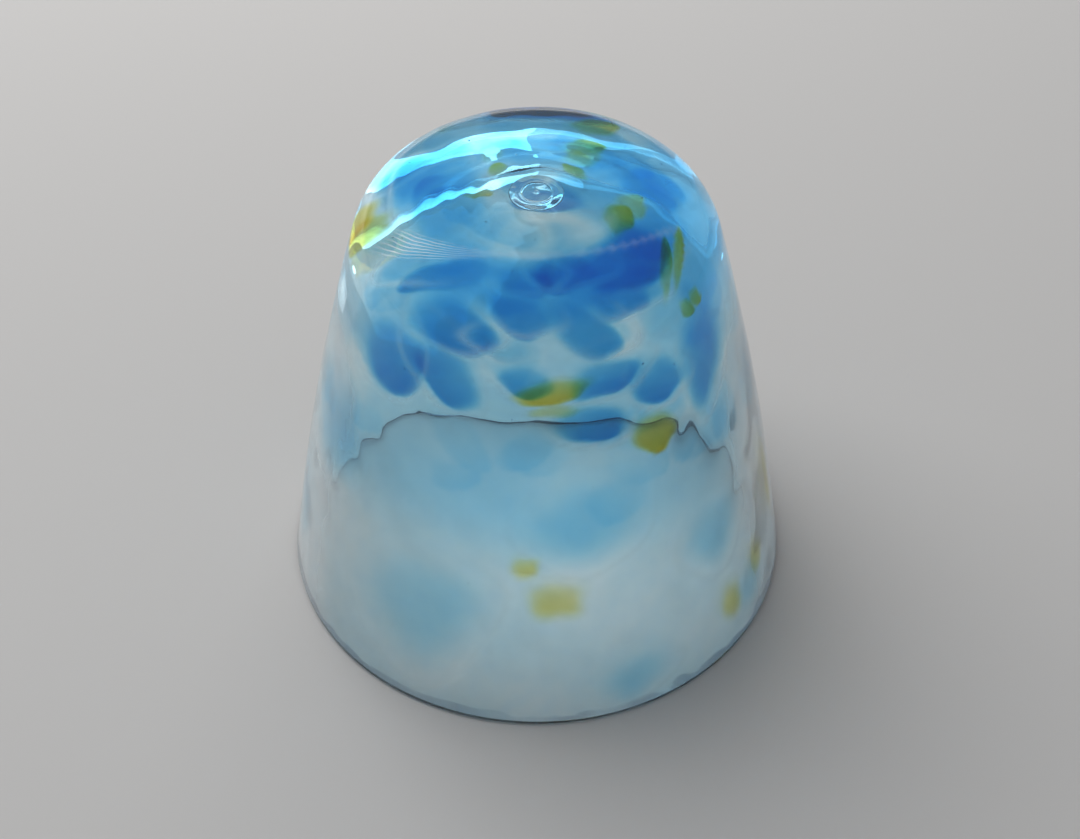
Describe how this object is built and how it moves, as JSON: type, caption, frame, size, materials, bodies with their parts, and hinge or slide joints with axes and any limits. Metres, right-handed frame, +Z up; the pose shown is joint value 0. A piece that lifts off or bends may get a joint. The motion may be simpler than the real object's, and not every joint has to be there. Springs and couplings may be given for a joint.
{
  "type": "bell-shaped glass tumbler",
  "caption": "Bell-shaped blown-glass tumbler standing mouth down, with blue and amber chips of coloured glass sealed in its wall and a pressed seal on the foot.",
  "frame": {"origin": "centre of the plane of the rim that the glass stands on", "axes": "+Z up along the axis of the glass, from the rim to the foot; -Y is the front, with the lower blue chip to its right"},
  "size_m": [0.09, 0.09, 0.084],
  "materials": {
    "clear_glass": "polished clear blown glass with a faint blue cast",
    "seal_glass": "polished clear glass, pressed hot",
    "blue_glass": "transparent blue glass, soft edged",
    "amber_glass": "transparent amber glass, soft edged"
  },
  "bodies": {
    "root": {"inner_gather": "clear_glass", "outer_gather": "clear_glass", "pontil_seal": "seal_glass", "blue_chip_01": "blue_glass", "blue_chip_02": "blue_glass", "blue_chip_03": "blue_glass", "blue_chip_04": "blue_glass", "blue_chip_05": "blue_glass", "blue_chip_06": "blue_glass", "blue_chip_07": "blue_glass", "blue_chip_08": "blue_glass", "blue_chip_09": "blue_glass", "blue_chip_10": "blue_glass", "blue_chip_11": "blue_glass", "blue_chip_12": "blue_glass", "blue_chip_13": "blue_glass", "blue_chip_14": "blue_glass", "blue_chip_15": "blue_glass", "blue_chip_16": "blue_glass", "blue_chip_17": "blue_glass", "blue_chip_18": "blue_glass", "blue_chip_19": "blue_glass", "blue_chip_20": "blue_glass", "blue_chip_21": "blue_glass", "blue_chip_22": "blue_glass", "blue_chip_23": "blue_glass", "blue_chip_24": "blue_glass", "blue_chip_25": "blue_glass", "blue_chip_26": "blue_glass", "blue_chip_27": "blue_glass", "blue_chip_28": "blue_glass", "blue_chip_29": "blue_glass", "blue_chip_30": "blue_glass", "blue_chip_31": "blue_glass", "blue_chip_32": "blue_glass", "blue_chip_33": "blue_glass", "blue_chip_34": "blue_glass", "blue_chip_35": "blue_glass", "amber_chip_01": "amber_glass", "amber_chip_02": "amber_glass", "amber_chip_03": "amber_glass", "amber_chip_04": "amber_glass", "amber_chip_05": "amber_glass", "amber_chip_06": "amber_glass", "amber_chip_07": "amber_glass", "amber_chip_08": "amber_glass", "amber_chip_09": "amber_glass", "amber_chip_10": "amber_glass", "amber_chip_11": "amber_glass", "amber_chip_12": "amber_glass", "amber_chip_13": "amber_glass", "amber_chip_14": "amber_glass", "amber_chip_15": "amber_glass", "amber_chip_16": "amber_glass"}
  },
  "joints": []
}
